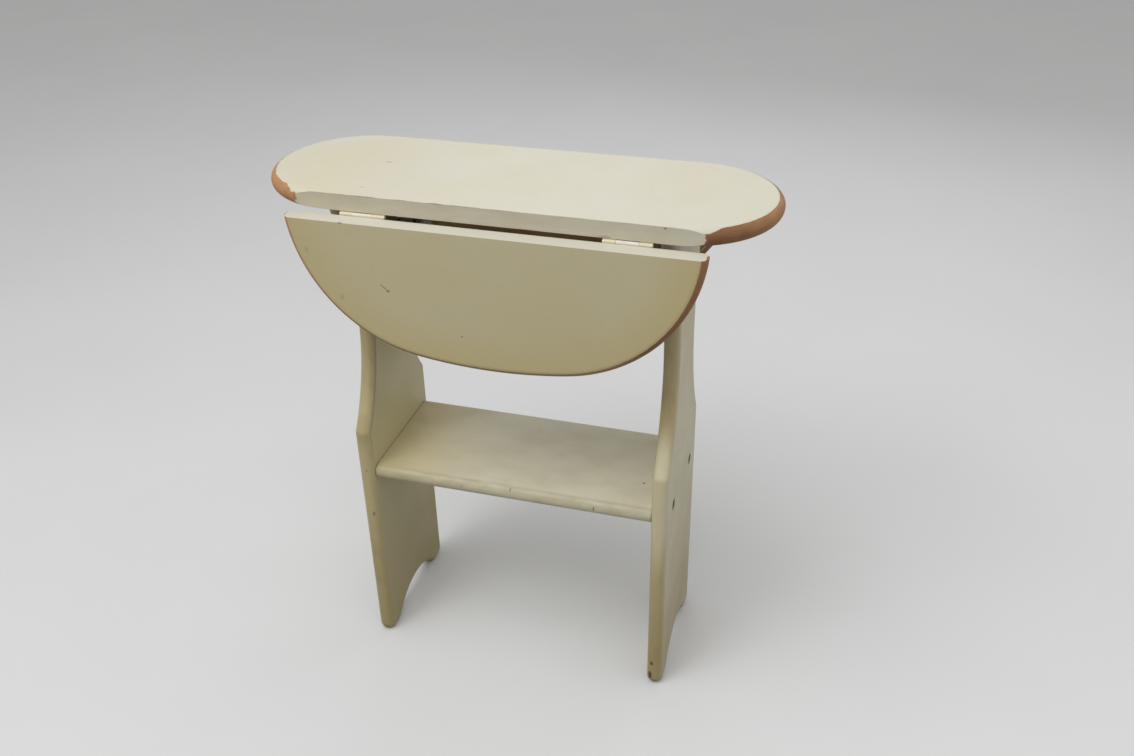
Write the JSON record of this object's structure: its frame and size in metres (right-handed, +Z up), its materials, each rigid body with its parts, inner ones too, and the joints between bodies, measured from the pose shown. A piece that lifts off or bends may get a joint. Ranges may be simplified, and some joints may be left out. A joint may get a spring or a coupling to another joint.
{
  "type": "drop-leaf side table",
  "caption": "Small side table with a round-ended top, drop leaves on hinges with slotted stays, shaped side panels and a shelf.",
  "frame": {"origin": "centre of the footprint on the floor", "axes": "+Z up, +X along the top to the right, -Y to the front"},
  "size_m": [0.5718, 0.2288, 0.624],
  "materials": {
    "painted_board": "satin cream paint",
    "painted_steel": "steel painted over in cream",
    "stay_steel": "plain zinc plated steel"
  },
  "bodies": {
    "frame": {"centre_board": "painted_board", "shelf": "painted_board", "left_side_panel": "painted_board", "left_cleat": "painted_board", "left_shelf_screw_1": "painted_steel", "left_shelf_screw_2": "painted_steel", "left_cleat_panel_screw_1": "stay_steel", "left_cleat_panel_screw_2": "stay_steel", "left_cleat_board_screw_1": "stay_steel", "left_cleat_board_screw_2": "stay_steel", "right_side_panel": "painted_board", "right_cleat": "painted_board", "right_shelf_screw_1": "painted_steel", "right_shelf_screw_2": "painted_steel", "right_cleat_panel_screw_1": "stay_steel", "right_cleat_panel_screw_2": "stay_steel", "right_cleat_board_screw_1": "stay_steel", "right_cleat_board_screw_2": "stay_steel", "front_left_hinge_board_flap": "painted_steel", "front_left_hinge_pin": "painted_steel", "front_left_hinge_board_screw_1": "painted_steel", "front_left_hinge_board_screw_2": "painted_steel", "front_right_hinge_board_flap": "painted_steel", "front_right_hinge_pin": "painted_steel", "front_right_hinge_board_screw_1": "painted_steel", "front_right_hinge_board_screw_2": "painted_steel", "front_stay_stud": "stay_steel", "rear_left_hinge_board_flap": "painted_steel", "rear_left_hinge_pin": "painted_steel", "rear_left_hinge_board_screw_1": "painted_steel", "rear_left_hinge_board_screw_2": "painted_steel", "rear_right_hinge_board_flap": "painted_steel", "rear_right_hinge_pin": "painted_steel", "rear_right_hinge_board_screw_1": "painted_steel", "rear_right_hinge_board_screw_2": "painted_steel", "rear_stay_stud": "stay_steel"},
    "front_leaf": {"front_leaf": "painted_board", "front_left_hinge_leaf_flap": "painted_steel", "front_left_hinge_leaf_screw_1": "painted_steel", "front_left_hinge_leaf_screw_2": "painted_steel", "front_right_hinge_leaf_flap": "painted_steel", "front_right_hinge_leaf_screw_1": "painted_steel", "front_right_hinge_leaf_screw_2": "painted_steel", "front_stay_bracket": "stay_steel", "front_stay_rivet": "stay_steel", "front_stay_bracket_screw_1": "stay_steel", "front_stay_bracket_screw_2": "stay_steel"},
    "rear_leaf": {"rear_leaf": "painted_board", "rear_left_hinge_leaf_flap": "painted_steel", "rear_left_hinge_leaf_screw_1": "painted_steel", "rear_left_hinge_leaf_screw_2": "painted_steel", "rear_right_hinge_leaf_flap": "painted_steel", "rear_right_hinge_leaf_screw_1": "painted_steel", "rear_right_hinge_leaf_screw_2": "painted_steel", "rear_stay_bracket": "stay_steel", "rear_stay_rivet": "stay_steel", "rear_stay_bracket_screw_1": "stay_steel", "rear_stay_bracket_screw_2": "stay_steel"},
    "front_stay": {"front_stay_arm": "stay_steel"},
    "rear_stay": {"rear_stay_arm": "stay_steel"}
  },
  "joints": [
    {"name": "front_leaf_hinge", "type": "hinge", "parent": "frame", "child": "front_leaf", "pos_m": [0, -0.0926, 0.6022], "axis": [-1, 0, 0], "range_deg": [0, 90]},
    {"name": "front_stay_pivot", "type": "hinge", "parent": "front_leaf", "child": "front_stay", "pos_m": [0.1677, -0.0859, 0.5172], "axis": [-1, 0, 0], "range_deg": [-45, 0]},
    {"name": "rear_leaf_hinge", "type": "hinge", "parent": "frame", "child": "rear_leaf", "pos_m": [0, 0.0926, 0.6022], "axis": [1, 0, 0], "range_deg": [0, 90]},
    {"name": "rear_stay_pivot", "type": "hinge", "parent": "rear_leaf", "child": "rear_stay", "pos_m": [-0.1677, 0.0859, 0.5172], "axis": [1, 0, 0], "range_deg": [-45, 0]}
  ],
  "couplings": [
    {"joint": "front_stay_pivot", "follows": "front_leaf_hinge", "ratio": -0.5},
    {"joint": "rear_stay_pivot", "follows": "rear_leaf_hinge", "ratio": -0.5}
  ]
}
